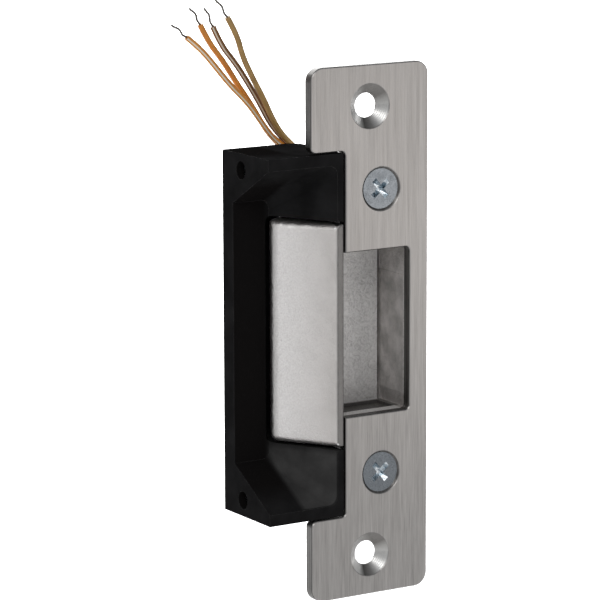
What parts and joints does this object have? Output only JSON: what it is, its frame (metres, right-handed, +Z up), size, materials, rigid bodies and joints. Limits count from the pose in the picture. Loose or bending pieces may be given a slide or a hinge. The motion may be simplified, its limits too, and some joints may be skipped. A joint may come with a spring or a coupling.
{
  "type": "electric door strike",
  "caption": "Electric door strike with a flat faceplate, a black lip bracket, a swinging keeper, a solenoid lock and bare-ended leads.",
  "frame": {"origin": "centre of the two faceplate screw holes, on the faceplate's back (seating) face", "axes": "+Z up along the faceplate's length, +Y into the door jamb, +X across the faceplate away from the lip bracket"},
  "size_m": [0.0544, 0.0286, 0.1383],
  "materials": {
    "stainless_plate": "brushed stainless steel, grain along the length",
    "zinc_screw": "bright zinc plated steel with a blue passivate",
    "zinc_casting": "as-cast zinc alloy",
    "plated_steel": "zinc plated sheet steel",
    "black_coating": "satin black powder coat on a casting",
    "keeper_casting": "investment cast stainless steel, fine blasted",
    "turned_steel": "ground steel",
    "spring_steel": "spring wire",
    "bobbin_plastic": "natural nylon",
    "enamelled_copper": "enamelled copper wire",
    "coil_tape": "yellow polyester tape",
    "lever_steel": "hardened steel",
    "grommet_rubber": "black rubber",
    "orange_insulation": "vinyl wire insulation",
    "brown_insulation": "vinyl wire insulation with a pale tracer",
    "tan_insulation": "vinyl wire insulation",
    "tinned_copper": "tinned stranded copper"
  },
  "bodies": {
    "frame": {"faceplate": "stainless_plate", "body_screws": "zinc_screw", "housing": "zinc_casting", "rear_cover": "plated_steel", "cover_screws": "zinc_screw", "lip_bracket": "black_coating", "bracket_screws": "zinc_screw", "keeper_guard": "black_coating", "guard_rivets": "zinc_screw", "keeper_pin": "turned_steel", "pin_clip": "spring_steel", "solenoid_yoke": "plated_steel", "solenoid_screws": "zinc_screw", "bobbin": "bobbin_plastic", "inner_winding": "enamelled_copper", "outer_winding": "enamelled_copper", "coil_tape": "coil_tape", "fixed_core": "turned_steel", "plunger_spring": "spring_steel", "lever_pin": "turned_steel", "wire_grommet": "grommet_rubber", "lead_1": "orange_insulation", "lead_2": "orange_insulation", "lead_3": "brown_insulation", "lead_4": "tan_insulation", "lead_1_tip": "tinned_copper", "lead_2_tip": "tinned_copper", "lead_3_tip": "tinned_copper", "lead_4_tip": "tinned_copper"},
    "keeper": {"keeper": "keeper_casting", "keeper_spring": "spring_steel"},
    "lever": {"lock_lever": "lever_steel"},
    "plunger": {"plunger": "turned_steel"}
  },
  "joints": [
    {"name": "keeper_swing", "type": "hinge", "parent": "frame", "child": "keeper", "pos_m": [-0.001, 0.0152, 0], "axis": [0, 0, -1], "range_deg": [0, 45], "stiffness_Nm_per_rad": 0.03, "springref_deg": -20.05},
    {"name": "lever_drop", "type": "hinge", "parent": "frame", "child": "lever", "pos_m": [0.00725, 0.0222, 0.024], "axis": [1, 0, 0], "range_deg": [-0.2, 20.2]},
    {"name": "plunger_pull", "type": "slide", "parent": "frame", "child": "plunger", "axis": [0, 0, -1], "range_m": [0, 0.00147], "stiffness_N_per_m": 150, "springref_m": -0.004, "deforming": ["plunger_spring"]}
  ],
  "couplings": [
    {"joint": "lever_drop", "follows": "plunger_pull", "rad_per_m": 237.46}
  ]
}
